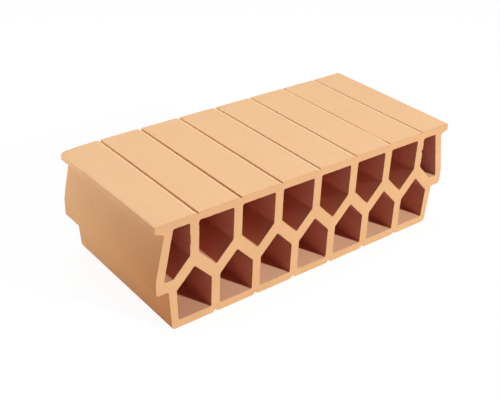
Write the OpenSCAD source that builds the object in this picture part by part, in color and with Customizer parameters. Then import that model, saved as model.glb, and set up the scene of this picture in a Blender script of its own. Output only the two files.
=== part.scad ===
// Hollow clay floor block, extruded, cut to length and fired as one piece.
// It spans between two floor beams and lies on them by the seat under each shoulder.
// X runs from beam to beam, Y along the extrusion and Z up from the underside.

/* [Block] */
// Width over the two shoulders, and over the two top lips
block_w = 540; // [500:1:600]
// Length along the extrusion
block_l = 250; // [150:1:400]
// Height from the underside to the top
block_h = 170; // [155:1:200]

/* [Walls] */
// Thickness of the outer side walls
side_t = 13.25; // [9:0.25:16]
// Thickness of the upright webs between cells
web_t = 14.5; // [8:0.5:20]
// Thickness of the top slab
top_t = 12.5; // [8:0.5:18]
// Thickness of the bottom slab
floor_t = 13; // [8:0.5:18]

/* [Cells] */
// Number of cells in the lower row
bays = 7; // [5:1:9]
// Corner radius of the cells
cell_r = 2.5; // [0:0.25:4]
// How far the outermost lower cells draw in at the floor
cell_draft = 2.25; // [0:0.25:5]

/* [Folded web] */
// Thickness of the folded web between the two rows of cells
fold_t = 18; // [10:0.5:22]
// Slope of the folded web, in degrees
fold_angle = 46; // [35:1:50]
// Height of the middle of the folded web
fold_z = 85; // [78:1:92]

/* [Side profile] */
// Height of the seats above the underside
seat_z = 64; // [54:1:72]
// Depth of each seat, from the shoulder's face in to the skirt
seat_w = 19; // [12:0.5:28]
// Thickness of the shoulder over its seat
seat_t = 17.5; // [12:0.5:22]
// Height of the shoulder's upright face
shoulder_h = 24; // [12:1:40]
// How far the top lip stands out from the side wall
lip_w = 13.5; // [6:0.5:20]
// Thickness of the lip at its tip
lip_t = 11.5; // [7:0.5:14]
// Thickness of the lip at its root
lip_root_t = 16; // [14:0.5:22]
// How far the skirt below the seat draws in at its foot
skirt_draft = 5; // [0:0.5:8]

/* [Grooves] */
// Width of the grooves along the top
top_groove_w = 5; // [2:0.5:8]
// Depth of the grooves along the top
top_groove_d = 2.4; // [0.6:0.2:4]
// Width of the steep right-hand side of each top groove
top_groove_steep_w = 0.6; // [0.3:0.1:1]
// How much closer together the top grooves stand than the cells
top_groove_close = 0.75; // [0:0.25:4]
// How far the set of top grooves stands to the right of the block's middle
top_groove_shift = 1.25; // [0:0.25:5]
// Width of the grooves along the underside
floor_groove_w = 8.5; // [3:0.5:12]
// Depth of the grooves along the underside
floor_groove_d = 4; // [1:0.5:5]

/* [Edges] */
// Radius of the long edges at the foot
foot_r = 5.5; // [0:0.5:8]
// Radius of the shoulder's lower edge
shoulder_r = 4.5; // [0:0.5:8]
// Radius of the bend between the shoulder and the leaning side wall
bend_r = 25; // [0:5:60]
// Radius of the lip's edges
lip_r = 2.5; // [0:0.5:4]
// Radius of the hollow corners under the lip and at the seat
hollow_r = 3; // [0:0.5:6]

/* [Hidden] */
clay = "#f0c294";

// Largest turn between two points of a rounded corner, in degrees
arc_step = 22.5;
// Largest share of a side that one rounded corner may take
corner_share = 0.45;
// How far a groove's cutter stands out of the face
groove_clear = 1;

// Outer profile, at the right-hand side
half_w = block_w / 2;
seat_x = half_w - seat_w;
foot_x = seat_x - skirt_draft;
shoulder_z = seat_z + shoulder_h;
lip_z = block_h - lip_t;
lip_root_x = half_w - lip_w;
lip_root_z = block_h - lip_root_t;
lean = lip_w / (lip_root_z - shoulder_z);

// Cells: the lower row fills the width between the skirts
skirt_x = seat_x - side_t;
pitch = (2 * skirt_x + web_t) / bays;
cell_half = (pitch - web_t) / 2;
ceiling_z = block_h - top_t;

// Folded web: its ridges carry the upper webs and its valleys stand on the lower ones
fold_slope = tan(fold_angle);
fold_rise = fold_slope * pitch / 2;
fold_upright_t = fold_t / cos(fold_angle);
ridge_z = fold_z + (fold_rise - fold_upright_t) / 2;
valley_z = fold_z - (fold_rise - fold_upright_t) / 2;
lower_eaves_z = ridge_z - fold_slope * cell_half;
upper_eaves_z = valley_z + fold_slope * cell_half;

// End cells, between the last upper web and the leaning side wall
end_cell_x = ridge_x(bays - 1) + web_t / 2;
end_floor_z = seat_z + seat_t;
end_slope_x = end_cell_x + (upper_eaves_z - end_floor_z) / fold_slope;

// Middle of lower cell i, which is also the middle of the upper web above it
function ridge_x(i) = (i - (bays - 1) / 2) * pitch;

// Middle of upper cell i, which is also the middle of the lower web under it
function valley_x(i) = ridge_x(i) + pitch / 2;

// Middle of the top groove over lower cell i
function top_groove_x(i) = (i - (bays - 1) / 2) * (pitch - top_groove_close) + top_groove_shift;

// Inner face of the leaning side wall at height z
function side_inner_x(z) = lip_root_x + (lip_root_z - z) * lean - side_t * sqrt(1 + lean * lean);

function xz(corner) = [corner.x, corner.y];
function unit(v) = v / norm(v);

// The corners of the left-hand side, in order, from those of the right-hand side
function mirrored(corners) =
    [for (i = [len(corners) - 1:-1:0]) [-corners[i].x, corners[i].y, corners[i].z]];

// Points of an outline whose corners are given as [x, z, radius]
function rounded(corners) =
    let (n = len(corners))
    [for (i = [0:n - 1]) each corner_arc(corners[(i + n - 1) % n], corners[i], corners[(i + 1) % n])];

// Points of the arc that rounds corner b, between corners a and c
function corner_arc(a, b, c) =
    let (
        back = xz(a) - xz(b),
        on = xz(c) - xz(b),
        half_angle = acos(unit(back) * unit(on)) / 2,
        reach_max = corner_share * min(norm(back), norm(on)),
        r = min(b.z, reach_max * tan(half_angle)),
        centre = xz(b) + unit(unit(back) + unit(on)) * r / sin(half_angle),
        first = xz(b) + unit(back) * r / tan(half_angle) - centre,
        last = xz(b) + unit(on) * r / tan(half_angle) - centre,
        start = atan2(first.y, first.x),
        sweep = (atan2(last.y, last.x) - start + 540) % 360 - 180,
        steps = max(1, ceil(abs(sweep) / arc_step)),
        angles = [for (k = [0:steps]) start + sweep * k / steps]
    )
    r == 0 ? [xz(b)] : [for (angle = angles) centre + r * [cos(angle), sin(angle)]];

module outline() {
    right = [
        [foot_x, 0, foot_r],
        [seat_x, seat_z, hollow_r],
        [half_w, seat_z, shoulder_r],
        [half_w, shoulder_z, bend_r],
        [lip_root_x, lip_root_z, hollow_r],
        [half_w, lip_z, lip_r],
        [half_w, block_h, lip_r],
    ];
    polygon(rounded(concat(right, mirrored(right))));
}

module lower_cell(i) {
    left_x = ridge_x(i) - cell_half;
    right_x = ridge_x(i) + cell_half;
    polygon(rounded([
        [left_x + (i == 0 ? cell_draft : 0), floor_t, cell_r],
        [right_x - (i == bays - 1 ? cell_draft : 0), floor_t, cell_r],
        [right_x, lower_eaves_z, cell_r],
        [ridge_x(i), ridge_z, cell_r],
        [left_x, lower_eaves_z, cell_r],
    ]));
}

module upper_cell(i) {
    left_x = valley_x(i) - cell_half;
    right_x = valley_x(i) + cell_half;
    polygon(rounded([
        [left_x, ceiling_z, cell_r],
        [left_x, upper_eaves_z, cell_r],
        [valley_x(i), valley_z, cell_r],
        [right_x, upper_eaves_z, cell_r],
        [right_x, ceiling_z, cell_r],
    ]));
}

module end_cell() {
    polygon(rounded([
        [end_cell_x, ceiling_z, cell_r],
        [end_cell_x, upper_eaves_z, cell_r],
        [end_slope_x, end_floor_z, cell_r],
        [side_inner_x(end_floor_z), end_floor_z, cell_r],
        [side_inner_x(ceiling_z), ceiling_z, cell_r],
    ]));
}

// Groove cut down from the line z = 0, and deepest at deep_x
module groove(width, depth, deep_x) {
    polygon([
        [-width / 2, groove_clear],
        [-width / 2, 0],
        [deep_x, -depth],
        [width / 2, 0],
        [width / 2, groove_clear],
    ]);
}

// Groove scored along the top, which slopes down from the left and ends in a steep side
module top_groove() {
    groove(top_groove_w, top_groove_d, top_groove_w / 2 - top_groove_steep_w);
}

module section() {
    difference() {
        outline();
        for (i = [0:bays - 1]) {
            lower_cell(i);
            translate([top_groove_x(i), block_h]) top_groove();
        }
        for (i = [0:bays - 2]) {
            upper_cell(i);
            translate([valley_x(i), 0]) mirror([0, 1]) groove(floor_groove_w, floor_groove_d, 0);
        }
        for (side = [0, 1]) mirror([side, 0]) end_cell();
    }
}

module floor_block() {
    color(clay) rotate([90, 0, 0]) linear_extrude(height = block_l, center = true) section();
}

floor_block();
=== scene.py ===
import math

import bmesh
import bpy
from mathutils import Matrix, Vector, noise
from mathutils.kdtree import KDTree


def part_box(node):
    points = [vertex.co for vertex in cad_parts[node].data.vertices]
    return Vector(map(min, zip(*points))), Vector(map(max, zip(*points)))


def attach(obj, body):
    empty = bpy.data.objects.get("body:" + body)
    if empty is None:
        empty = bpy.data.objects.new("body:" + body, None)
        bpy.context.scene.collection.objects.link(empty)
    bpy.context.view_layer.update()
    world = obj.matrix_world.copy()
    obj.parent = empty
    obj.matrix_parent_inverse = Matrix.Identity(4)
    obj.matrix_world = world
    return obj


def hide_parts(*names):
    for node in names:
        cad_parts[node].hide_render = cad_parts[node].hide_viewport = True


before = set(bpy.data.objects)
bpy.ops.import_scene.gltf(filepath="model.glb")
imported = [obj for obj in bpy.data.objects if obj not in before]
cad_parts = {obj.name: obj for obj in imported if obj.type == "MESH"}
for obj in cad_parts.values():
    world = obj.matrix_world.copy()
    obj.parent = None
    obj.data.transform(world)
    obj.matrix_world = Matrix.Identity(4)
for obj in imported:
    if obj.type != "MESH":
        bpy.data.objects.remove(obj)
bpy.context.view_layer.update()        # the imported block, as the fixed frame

scene = bpy.context.scene
MM = 0.001
CLOSE = 0.01 * MM        # places nearer than this are the same
BLOCK_LOW, BLOCK_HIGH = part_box("floor_block")
BLOCK_ENDS = BLOCK_LOW.y, BLOCK_HIGH.y
BLOCK_HEIGHTS = BLOCK_LOW.z, BLOCK_HIGH.z

# Camera: where the photograph was taken from, in degrees round the block and above it
CAMERA_AZIMUTH = -38.997
CAMERA_ELEVATION = 30.168
CAMERA_ROLL = 2.2995
CAMERA_TARGET = Vector((-19.45, 1.55, 66.02)) * MM
CAMERA_DISTANCE = 1335.77 * MM
CAMERA_LENS = 62.658
CAMERA_SENSOR = 36.0

# Clay surfaces, by the order of the block's materials
SKIN, CUT, CELL = range(3)
END_FACING = 0.9         # what looks along the block by more than this is a cut end

# Top grooves: how deep each one was scored, from left to right, as a share of the solid's groove
GROOVE_SHARES = [1.15, 1.2, 1.0, 0.8, 0.65, 0.42, 0.48]
GROOVE_DEPTH = 2.4 * MM
GROOVE_FLARE = 1.4       # how much wider the gentle left side was dragged open

# How far down and to each side the clay moves with a groove
GROOVE_LIMIT = 1.5 * GROOVE_DEPTH
GROOVE_REACH = 7.5 * MM

# The groove that fades out where the pin lifted: the middle of the gap, and how far in front of it and
# behind it the groove has its depth again. In front it goes on deepening up to the end.
FADED_GROOVE = 5
FADED_MIDDLE = -93 * MM
FADED_FRONT = 16 * MM
FADED_BACK = 45 * MM

# Edges that the cutting wire leaves, and how finely the block is cut up to carry relief
OUTER_ARRIS = 1.0 * MM
MOUTH_ARRIS = 0.6 * MM
ARRIS_STEPS = 3
SECTION_STEP = 2.0 * MM
LENGTH_STEP = 25 * MM
MOUTH_DEPTHS = [1.6 * MM, 3.2 * MM, 6.4 * MM]
SNAP = 0.25 * MM         # a cut nearer to a corner than this runs through the corner

# Angles between faces: of one flat face, and of what still looks smooth, all over and in a groove
FLAT_ANGLE = math.radians(0.5)
SMOOTH_ANGLE = math.radians(33)
GROOVE_ANGLE = math.radians(3)

# Rims of the cells: how deep and how far apart the wire pulled crumbs out of them
CRUMB_DEPTH = 0.5 * MM
CRUMB_SPACING = 5 * MM
CRUMB_REACH = 4 * MM

# Torn rims: the middle of each tear, half its length, and how deep it is
TORN_RIMS = [
    (Vector((217.25, -125, 134)) * MM, 27 * MM, 4.5 * MM),
    (Vector((-217.25, -125, 128)) * MM, 27 * MM, 1.6 * MM),
    (Vector((-202.75, -125, 155)) * MM, 7 * MM, 2.4 * MM),
]

# The back left corner of the lip, and the way from it into the block
CORNER = Vector((BLOCK_LOW.x, BLOCK_HIGH.y, BLOCK_HIGH.z))
INTO_BLOCK = Vector((1, -1, -1))

# How far each way that corner was knocked round, and how far along its two edges the wear runs out
WORN_RADII = Vector((8, 3, 6)) * MM
WORN_ALONG_BACK = 40 * MM
WORN_ALONG_LIP = 200 * MM
WORN_LEAST = 0.1         # a smaller share of the wear can't be seen and is left out

# How far the same corner hung down before it was fired, and how far from it that can be seen
SAG = 2.2 * MM
SAG_REACH = Vector((110, 170, 50)) * MM
SAG_HOLD = 1.5           # more than 1, so that the whole lip hangs and the wall below it less and less

# Relief: how deep each kind of mark is pressed in, and how far apart such marks are
WAVE_DEPTH, WAVE_SPACING = 0.18 * MM, 55 * MM
DIE_LINE_DEPTH, DIE_LINE_SPACING, DIE_LINE_LENGTH = 0.05 * MM, 5 * MM, 180 * MM
WIRE_LINE_DEPTH, WIRE_LINE_SPACING, WIRE_LINE_LENGTH = 0.12 * MM, 7 * MM, 120 * MM

# Painted light on the skin: the heights over which the sides grow paler upwards, the stretch over which
# the lip's face grows paler towards the back, the lip's lower edge, and the top's left edge, where the
# pale top colour reaches further round
SIDE_PAINTED_LIGHT = 80 * MM, 170 * MM
LIP_PAINTED_LIGHT = 60 * MM, BLOCK_HIGH.y
LIP_FOOT = 154 * MM, 158 * MM
TOP_EDGE_PAINTED_LIGHT = BLOCK_LOW.x + 11 * MM, BLOCK_LOW.x + 12 * MM

# Painted light in the cells, named dust: pale on faces turned up and a little to the right, towards the
# key lamp, and cut off by a painted shadow that slants to the left by a share of its way into a cell. It
# grows paler away from the block's left side, and on the slopes it lies only by the front mouths.
PAINTED_LIGHT_FROM = (0.4, 0.0, 1.0)
SHADOW_SLANT = 0.42
FLOOR_LIGHT_GROWS = BLOCK_LOW.x + 20 * MM, BLOCK_LOW.x + 160 * MM
MOUTH_LIGHT = BLOCK_LOW.y, BLOCK_LOW.y + 30 * MM

# Lower cells: how far apart and how wide they are, where the painted shadow of a right wall ends, and
# the heights that part their floors from all above
CELL_PITCH = 70 * MM
CELL_WIDTH = 53.5 * MM
PAINTED_SHADOW_LINE = CELL_WIDTH / 2 + SHADOW_SLANT * BLOCK_LOW.y
PAINTED_SHADOW_LINE_EDGE = PAINTED_SHADOW_LINE - 1 * MM, PAINTED_SHADOW_LINE + 3 * MM
LOWER_FLOORS = 30 * MM, 40 * MM

# Right end cell: where its leaning wall starts, from the left and from below, and how far up it is
# painted greyer and darker, as shade
END_WALL_LEFT = 222 * MM, 226 * MM
END_WALL_BOTTOM = 78 * MM, 82 * MM
END_WALL_FOOT = 95 * MM, 150 * MM

# How far a surface looks up, to the right or towards the painted light, from where a colour starts to
# where it is full
FACES_UP = 0.4, 0.8
FACES_UP_AT_EDGE = 0.3, 0.45
FACES_RIGHT = 0.05, 0.2
SLOPE_FACES_RIGHT = 0.3, 0.6
FACES_PAINTED_LIGHT = 0.75, 0.98

# Strength of the cloudy marks, from where a colour starts to where it is full
CLOUDED = 0.35, 0.65
STREAKED = 0.5, 0.8
SPECKED = 0.77, 0.82

DRY_GLOSS = 0.25         # dry clay shines less than the usual 0.5

# Studio: the white that the backdrop and the floor show, the grey on which the floor keeps a shadow, the
# even light on the block, and half the floor's width in metres
WHITE = (1, 1, 1, 1)
BACKDROP = 0.97
FLOOR_GLOW = 0.93
FLOOR_GREY = (0.1, 0.1, 0.1, 1)
EVEN_LIGHT = 0.12
FLOOR_HALF_WIDTH = 6


def linear(colour):
    """An sRGB hex colour as linear red, green, blue and alpha."""
    parts = [int(colour[i:i + 2], 16) / 255 for i in (1, 3, 5)]
    return [c / 12.92 if c <= 0.04045 else ((c + 0.055) / 1.055) ** 2.4 for c in parts] + [1.0]


def add_node(tree, kind, inputs, **settings):
    """Adds a node with its settings. An input is a number, a colour or another node's output."""
    node = tree.nodes.new(kind)
    for name, value in settings.items():
        setattr(node, name, value)
    for name, value in inputs.items():
        if isinstance(value, bpy.types.NodeSocket):
            tree.links.new(value, node.inputs[name])
        else:
            node.inputs[name].default_value = value
    return node


def direction(azimuth, elevation):
    """The way from the block towards a camera or lamp, with azimuth 0 in front and 90 on the right."""
    around, above = math.radians(azimuth), math.radians(elevation)
    level = math.cos(above)
    return Vector((math.sin(around) * level, -math.cos(around) * level, math.sin(above)))


def facing_block(azimuth, elevation, distance):
    """A place at that distance from the block's middle, turned to face it."""
    back = direction(azimuth, elevation)
    turn = back.to_track_quat("Z", "Y").to_matrix().to_4x4()
    return Matrix.Translation(CAMERA_TARGET + back * distance) @ turn


# Shape of the block

def merged_copy(node):
    """A copy of the node's mesh as one closed shape, with its flat faces whole again."""
    shape = bmesh.new()
    shape.from_mesh(node.data)
    bmesh.ops.remove_doubles(shape, verts=shape.verts, dist=CLOSE)
    bmesh.ops.dissolve_limit(shape, angle_limit=FLAT_ANGLE, verts=shape.verts, edges=shape.edges)
    return shape


def mark_surfaces(shape):
    """Gives each face the clay it shows: a cut end, the skin all round or a wall of a cell."""
    for face in shape.faces:
        face.material_index = CUT if abs(face.normal.y) > END_FACING else CELL
    walls = [face for face in shape.faces if face.material_index == CELL]
    found = [max(walls, key=lambda face: face.calc_center_median().z)]
    while found:
        face = found.pop()
        face.material_index = SKIN
        near = [other for edge in face.edges for other in edge.link_faces]
        found += [other for other in near if other.material_index == CELL and other not in found]


def groove_lines(shape):
    """The x of the deepest line of each top groove, from left to right."""
    deepest = BLOCK_HIGH.z - GROOVE_DEPTH
    return sorted({round(vert.co.x, 5) for vert in shape.verts if abs(vert.co.z - deepest) < CLOSE})


def in_groove(at, lines):
    """Which top groove a place is in, or None."""
    if at.z < BLOCK_HIGH.z - GROOVE_LIMIT:
        return None
    return next((i for i, x in enumerate(lines) if abs(at.x - x) < GROOVE_REACH), None)


def score_grooves(shape, lines):
    """Makes each top groove as deep as it was scored, with its gentle side dragged open."""
    for vert in shape.verts:
        groove = in_groove(vert.co, lines)
        if groove is not None:
            share, line = GROOVE_SHARES[groove], lines[groove]
            widen = GROOVE_FLARE if vert.co.x < line else math.sqrt(share)
            vert.co.x = line + (vert.co.x - line) * widen
            vert.co.z = BLOCK_HIGH.z - (BLOCK_HIGH.z - vert.co.z) * share


def fade_groove(shape, lines):
    """Makes the one groove shallow near the place where the pin lifted, and deeper at the front end."""
    for vert in shape.verts:
        if in_groove(vert.co, lines) == FADED_GROOVE:
            past = vert.co.y - FADED_MIDDLE
            share = min(1, past / FADED_BACK) if past > 0 else -past / FADED_FRONT
            depth = BLOCK_HIGH.z - vert.co.z
            if share > 1:
                # Less and less down the end face, so that the points there keep their order
                share = 1 + (share - 1) * (1 - depth / GROOVE_LIMIT)
            vert.co.z = BLOCK_HIGH.z - depth * share


def round_arrises(shape, surface, width):
    """Rounds the edges where the cut ends meet one kind of surface."""
    kinds = {CUT, surface}
    edges = [edge for edge in shape.edges if {face.material_index for face in edge.link_faces} == kinds]
    rounded = bmesh.ops.bevel(
        shape, geom=edges, offset=width, offset_type="OFFSET", affect="EDGES", segments=ARRIS_STEPS,
        profile=0.5, material=-1, loop_slide=False, clamp_overlap=True)
    for face in rounded["faces"]:
        face.material_index = CUT


def cut_at(shape, axis, places):
    """Cuts the shape along planes square to one axis, so that it has points to carry the relief."""
    across = Vector((0, 0, 0))
    across[axis] = 1
    for place in places:
        whole = shape.verts[:] + shape.edges[:] + shape.faces[:]
        bmesh.ops.bisect_plane(shape, geom=whole, dist=SNAP, plane_co=across * place, plane_no=across)


def evenly(axis, step):
    """Places along one axis, about a step apart, between the block's two sides."""
    low, high = BLOCK_LOW[axis], BLOCK_HIGH[axis]
    count = round((high - low) / step)
    return [low + (high - low) * i / count for i in range(1, count)]


def mark_edges(shape, lines):
    """Keeps corners and the sides of the top grooves crisp, and the rest smooth to the light."""
    for face in shape.faces:
        face.smooth = True
    for edge in shape.edges:
        middle = (edge.verts[0].co + edge.verts[1].co) / 2
        sharpest = SMOOTH_ANGLE if in_groove(middle, lines) is None else GROOVE_ANGLE
        edge.smooth = edge.calc_face_angle(0) < sharpest


def crumb_pull(vert):
    """How a place on a cell's rim moves back into the clay where a crumb came out."""
    into = -sum((face.normal for face in vert.link_faces if face.material_index == CELL), Vector())
    into.y = 0
    tears = [depth for middle, reach, depth in TORN_RIMS
             if (vert.co.xy - middle.xy).length < CRUMB_REACH and abs(vert.co.z - middle.z) < reach]
    depth = max(tears, default=CRUMB_DEPTH)
    return into.normalized() * depth * max(0, noise.noise(vert.co / CRUMB_SPACING))


def crumble_rims(shape):
    """Roughens the rims of the cells, and moves the clay round them along."""
    shape.normal_update()
    rims = [vert for vert in shape.verts
            if {face.material_index for face in vert.link_faces} == {CUT, CELL}]
    pulls = [crumb_pull(vert) for vert in rims]
    places = KDTree(len(rims))
    for i, vert in enumerate(rims):
        places.insert(vert.co, i)
    places.balance()
    for vert in shape.verts:
        _, i, gap = places.find(vert.co)
        vert.co += pulls[i] * max(0, 1 - gap / CRUMB_REACH)


def wear_corner(shape):
    """Rounds the back left corner of the lip, and less and less of the edges that run from it."""
    for vert in shape.verts:
        inside = (vert.co - CORNER) * INTO_BLOCK
        wear = 1 - inside.x / WORN_ALONG_BACK - inside.y / WORN_ALONG_LIP
        if wear < WORN_LEAST:
            continue
        radii = WORN_RADII * wear
        short = Vector([max(0, 1 - inside[i] / radii[i]) for i in range(3)])
        if short.length > 1:
            rounded = short.normalized()
            for i in range(3):
                if short[i] > 0:
                    vert.co[i] = CORNER[i] + INTO_BLOCK[i] * radii[i] * (1 - rounded[i])


def sag_corner(shape):
    """Lets the back left corner of the lip hang, as the soft clay did before it was fired."""
    for vert in shape.verts:
        inside = (vert.co - CORNER) * INTO_BLOCK
        across, back, down = [max(0, 1 - inside[i] / SAG_REACH[i]) for i in range(3)]
        vert.co.z -= SAG * (across * back) ** 2 * min(1, SAG_HOLD * down)


def press_relief(shape):
    """Presses the marks of making into the clay, always inwards, so that the block grows nowhere."""
    shape.normal_update()
    for vert in shape.verts:
        at = vert.co
        depth = WAVE_DEPTH * (1 + noise.noise(at / WAVE_SPACING))
        if abs(vert.normal.y) > END_FACING:
            drawn = Vector((at.x / WIRE_LINE_LENGTH, at.z / WIRE_LINE_SPACING, at.y))
            depth += WIRE_LINE_DEPTH * (1 + noise.noise(drawn))
        else:
            drawn = Vector((at.x / DIE_LINE_SPACING, at.z / DIE_LINE_SPACING, at.y / DIE_LINE_LENGTH))
            depth += DIE_LINE_DEPTH * (1 + noise.noise(drawn))
        vert.co = at - vert.normal * depth


def add_block():
    """The block as fired: scored on top, rounded where the wire cut it, torn, worn and sagged."""
    shape = merged_copy(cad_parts["floor_block"])
    mark_surfaces(shape)
    lines = groove_lines(shape)
    score_grooves(shape, lines)
    round_arrises(shape, SKIN, OUTER_ARRIS)
    round_arrises(shape, CELL, MOUTH_ARRIS)
    cut_at(shape, 0, evenly(0, SECTION_STEP))
    cut_at(shape, 2, evenly(2, SECTION_STEP))
    cut_at(shape, 1, evenly(1, LENGTH_STEP))
    for depth in MOUTH_DEPTHS:
        cut_at(shape, 1, [BLOCK_LOW.y + depth, BLOCK_HIGH.y - depth])
    fade_groove(shape, lines)
    mark_edges(shape, lines)
    crumble_rims(shape)
    wear_corner(shape)
    sag_corner(shape)
    press_relief(shape)
    mesh = bpy.data.meshes.new("clay_block")
    shape.to_mesh(mesh)
    shape.free()
    for material in (die_smoothed_skin(), wire_cut_end(), cell_wall()):
        mesh.materials.append(material)
    block = bpy.data.objects.new("clay_block", mesh)
    scene.collection.objects.link(block)
    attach(block, "root")
    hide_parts("floor_block")


# Materials

def fired_clay(name, roughness):
    """A new matt clay, with no gloss beyond what dry ceramic has."""
    clay = bpy.data.materials.new(name)
    clay.use_nodes = True
    surface = clay.node_tree.nodes["Principled BSDF"]
    surface.inputs["Roughness"].default_value = roughness
    surface.inputs["Specular IOR Level"].default_value = DRY_GLOSS
    return clay


def marks(tree, spacing, detail=2.0):
    """Cloudy marks, about so many millimetres apart along X, Y and Z."""
    place = add_node(tree, "ShaderNodeTexCoord", {})
    spread = add_node(
        tree, "ShaderNodeMapping",
        {"Vector": place.outputs["Object"], "Scale": [1 / (gap * MM) for gap in spacing]})
    cloud = add_node(
        tree, "ShaderNodeTexNoise", {"Vector": spread.outputs["Vector"], "Scale": 1.0, "Detail": detail})
    return cloud.outputs["Fac"]


def mixed(tree, amount, between, first, second, most=1.0):
    """The first colour below the two amounts given, and as much as `most` of the second above them."""
    share = add_node(
        tree, "ShaderNodeMapRange",
        {"Value": amount, "From Min": between[0], "From Max": between[1], "To Max": most})
    colour = add_node(
        tree, "ShaderNodeMix", {0: share.outputs["Result"], 6: first, 7: second}, data_type="RGBA")
    return colour.outputs[2]


def along(tree, kind, axis):
    """One axis of the block's own coordinates, or of the way its surface faces."""
    place = add_node(tree, "ShaderNodeTexCoord", {})
    return add_node(tree, "ShaderNodeSeparateXYZ", {"Vector": place.outputs[kind]}).outputs[axis]


def finish_clay(clay, colour, grain, grain_depth):
    """Joins the colour and the grain to the clay's surface. The real grain is under a millimetre, and it
    is drawn coarser so that it shows at all."""
    tree = clay.node_tree
    surface = tree.nodes["Principled BSDF"]
    bump = add_node(tree, "ShaderNodeBump", {"Height": grain, "Distance": grain_depth, "Strength": 1.0})
    tree.links.new(colour, surface.inputs["Base Color"])
    tree.links.new(bump.outputs["Normal"], surface.inputs["Normal"])
    return clay


def die_smoothed_skin():
    """Skin pressed smooth by the die: orange, with faint streaks along it and a few dark specks. Light
    and
    shade are painted on it: the top and upward faces paler, with a painted highlight where they turn to
    the right, the pale top colour carried further round the left edge, the sides darker towards the
    front end and the foot, and the lip's face paler towards the back."""
    clay = fired_clay("clay_skin_smoothed_by_die", roughness=0.9)
    tree = clay.node_tree
    length = along(tree, "Object", "Y")
    height = along(tree, "Object", "Z")
    upward = along(tree, "Normal", "Z")
    # Painted shade: the sides darker towards the front end and the foot, paler towards the back and
    # upwards
    sides = mixed(tree, length, BLOCK_ENDS, linear("#C48351"), linear("#DFAE7D"))
    sides = mixed(tree, height, SIDE_PAINTED_LIGHT, sides, linear("#EAC197"), most=0.4)
    # Painted light: the lip's face paler towards the back
    lip = mixed(tree, length, LIP_PAINTED_LIGHT, sides, linear("#F0C594"))
    sides = mixed(tree, height, LIP_FOOT, sides, lip)
    clouds = marks(tree, (60, 60, 60))
    sides = mixed(tree, clouds, CLOUDED, sides, linear("#BC804D"), most=0.06)
    # Painted light from above: upward faces paler, with a painted highlight on faces turned to the right
    painted_top_light = mixed(tree, clouds, CLOUDED, linear("#FCCC9C"), linear("#FACA9A"))
    painted_top_light = mixed(tree, along(tree, "Normal", "X"), FACES_RIGHT, painted_top_light, linear("#FFD6A8"))
    # Painted light: within the top's left edge the pale top colour reaches further down the rounded edge
    edge = mixed(tree, upward, FACES_UP_AT_EDGE, sides, painted_top_light)
    colour = mixed(tree, upward, FACES_UP, sides, painted_top_light)
    colour = mixed(tree, along(tree, "Object", "X"), TOP_EDGE_PAINTED_LIGHT, edge, colour)
    streaks = marks(tree, (4, 200, 4))
    colour = mixed(tree, streaks, STREAKED, colour, linear("#E0A26C"), most=0.07)
    specks = marks(tree, (9, 9, 9), detail=0.0)
    colour = mixed(tree, specks, SPECKED, colour, linear("#A9764A"), most=0.09)
    return finish_clay(clay, colour, grain=marks(tree, (2, 4, 2), detail=3.0), grain_depth=0.05 * MM)


def wire_cut_end():
    """Ends cut by the wire: a deeper orange than the skin, with painted light that makes them a little
    paler towards the foot, grainy, with lines where grit was dragged along."""
    clay = fired_clay("clay_end_cut_by_wire", roughness=0.95)
    tree = clay.node_tree
    height = along(tree, "Object", "Z")
    # Painted light: a little paler towards the foot, standing for light bounced up from the floor
    colour = mixed(tree, height, BLOCK_HEIGHTS, linear("#DDAE7D"), linear("#D3A377"))
    clouds = marks(tree, (40, 40, 40))
    colour = mixed(tree, clouds, CLOUDED, colour, linear("#D0A072"), most=0.4)
    drags = marks(tree, (90, 90, 3))
    colour = mixed(tree, drags, STREAKED, colour, linear("#C08857"), most=0.14)
    return finish_clay(clay, colour, grain=marks(tree, (3, 3, 2), detail=4.0), grain_depth=0.1 * MM)


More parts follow.
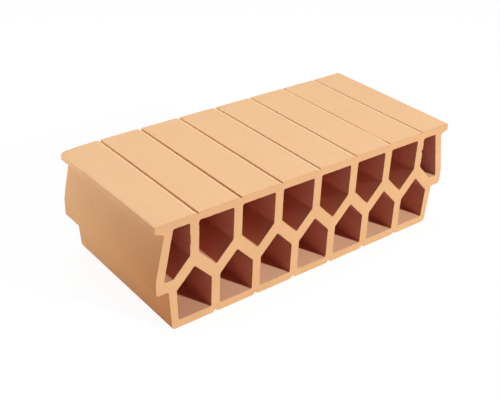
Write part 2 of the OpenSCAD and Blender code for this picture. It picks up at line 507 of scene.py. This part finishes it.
def cell_wall():
    """Walls that were drawn over the die's cores: cloudy, and painted darker and redder than the outside
    as the shade in the cells. Painted light, named dust, lies pale on the floors, with a painted shadow
    beside the right wall of each lower cell, and by the front mouths on the slopes that look to the
    right."""
    clay = fired_clay("clay_cell_wall_painted_shade_and_light", roughness=0.95)
    tree = clay.node_tree
    across = along(tree, "Object", "X")
    length = along(tree, "Object", "Y")
    height = along(tree, "Object", "Z")
    clouds = marks(tree, (30, 60, 30))
    # Painted shade: the walls are darker and redder than the outside clay, for the shade in the cells
    walls = mixed(tree, clouds, CLOUDED, linear("#CD8069"), linear("#C57861"))
    # Painted shade: the leaning wall of the right end cell is greyer and darker towards its foot
    grey = mixed(tree, height, END_WALL_FOOT, linear("#B5756B"), walls)
    grey = mixed(tree, height, END_WALL_BOTTOM, walls, grey)
    walls = mixed(tree, across, END_WALL_LEFT, walls, grey)
    # Painted light on the cell floors, named dust, paler away from the block's left side
    painted_light = mixed(tree, across, FLOOR_LIGHT_GROWS, linear("#DCA987"), linear("#F7CAA3"))
    # Painted shadow: the right wall of each lower cell shades the floor beside it, and more of it deeper
    # in;
    # there the floor keeps the walls' colour instead of the painted light
    in_cell = add_node(
        tree, "ShaderNodeMath", {0: across, 1: CELL_PITCH / 2, 2: -CELL_PITCH / 2}, operation="WRAP")
    across_shadow = add_node(
        tree, "ShaderNodeMath", {0: length, 1: SHADOW_SLANT, 2: in_cell.outputs[0]},
        operation="MULTIPLY_ADD")
    floors = mixed(tree, across_shadow.outputs[0], PAINTED_SHADOW_LINE_EDGE, painted_light, walls)
    painted_light = mixed(tree, height, LOWER_FLOORS, floors, painted_light)
    # Painted light on the slopes that face right, only by the front mouths, where the key lamp shines in
    slopes = mixed(tree, length, MOUTH_LIGHT, linear("#FFDCAC"), walls)
    painted_light = mixed(tree, along(tree, "Normal", "X"), SLOPE_FACES_RIGHT, painted_light, slopes)
    # Painted light on faces turned up and a little to the right; the rest keeps the walls' painted shade
    place = add_node(tree, "ShaderNodeTexCoord", {})
    facing = add_node(
        tree, "ShaderNodeVectorMath", {0: place.outputs["Normal"], 1: PAINTED_LIGHT_FROM},
        operation="DOT_PRODUCT")
    colour = mixed(tree, facing.outputs["Value"], FACES_PAINTED_LIGHT, walls, painted_light)
    return finish_clay(clay, colour, grain=marks(tree, (3, 8, 3), detail=3.0), grain_depth=0.08 * MM)


# Studio

def seen_directly(tree):
    """1 for what the camera sees straight, in gloss or through glass, and 0 for light that bounces."""
    path = add_node(tree, "ShaderNodeLightPath", {})
    shown = add_node(
        tree, "ShaderNodeMath", {0: path.outputs["Is Camera Ray"], 1: path.outputs["Is Glossy Ray"]},
        operation="MAXIMUM")
    return add_node(
        tree, "ShaderNodeMath", {0: shown.outputs[0], 1: path.outputs["Is Transmission Ray"]},
        operation="MAXIMUM").outputs[0]


def add_camera():
    """The photograph's camera, turned a little about its own line of sight."""
    lens = bpy.data.cameras.new("camera")
    lens.lens = CAMERA_LENS
    lens.sensor_width = CAMERA_SENSOR
    camera = bpy.data.objects.new("camera", lens)
    scene.collection.objects.link(camera)
    roll = Matrix.Rotation(math.radians(CAMERA_ROLL), 4, "Z")
    camera.matrix_world = facing_block(CAMERA_AZIMUTH, CAMERA_ELEVATION, CAMERA_DISTANCE) @ roll
    scene.camera = camera


def add_lamp(name, azimuth, elevation, distance, size, power):
    """A round white lamp that faces the block."""
    lamp = bpy.data.lights.new(name, "AREA")
    lamp.shape = "DISK"
    lamp.size = size
    lamp.energy = power
    holder = bpy.data.objects.new(name, lamp)
    scene.collection.objects.link(holder)
    holder.matrix_world = facing_block(azimuth, elevation, distance)


def add_floor():
    """A pale floor that shows as white, and keeps a faint shadow."""
    shape = bmesh.new()
    bmesh.ops.create_grid(shape, x_segments=1, y_segments=1, size=FLOOR_HALF_WIDTH)
    mesh = bpy.data.meshes.new("floor")
    shape.to_mesh(mesh)
    shape.free()
    paint = bpy.data.materials.new("floor_paint")
    paint.use_nodes = True
    tree = paint.node_tree
    tree.nodes.clear()
    matt = add_node(tree, "ShaderNodeBsdfDiffuse", {"Color": linear("#F0F0F0")})
    grey = add_node(tree, "ShaderNodeBsdfDiffuse", {"Color": FLOOR_GREY})
    glow = add_node(tree, "ShaderNodeEmission", {"Color": WHITE, "Strength": FLOOR_GLOW})
    shown = add_node(tree, "ShaderNodeAddShader", {0: grey.outputs[0], 1: glow.outputs[0]})
    either = add_node(
        tree, "ShaderNodeMixShader", {0: seen_directly(tree), 1: matt.outputs[0], 2: shown.outputs[0]})
    add_node(tree, "ShaderNodeOutputMaterial", {"Surface": either.outputs[0]})
    mesh.materials.append(paint)
    floor = bpy.data.objects.new("floor", mesh)
    scene.collection.objects.link(floor)


def add_world():
    """As white to the camera as the far floor, and a low even light on the block."""
    world = bpy.data.worlds.new("studio")
    scene.world = world
    world.use_nodes = True
    tree = world.node_tree
    strength = add_node(
        tree, "ShaderNodeMapRange",
        {"Value": seen_directly(tree), "To Min": EVEN_LIGHT, "To Max": BACKDROP})
    back = tree.nodes["Background"]
    back.inputs["Color"].default_value = WHITE
    tree.links.new(strength.outputs["Result"], back.inputs["Strength"])


scene.view_settings.view_transform = "Standard"
add_camera()
add_block()
add_floor()
add_world()
add_lamp("key_lamp", azimuth=22.8, elevation=24, distance=4.0, size=0.17, power=144)
add_lamp("top_lamp", azimuth=180, elevation=76, distance=2.2, size=1.5, power=19.4)
add_lamp("left_lamp", azimuth=-118, elevation=10, distance=1.6, size=0.6, power=10.5)
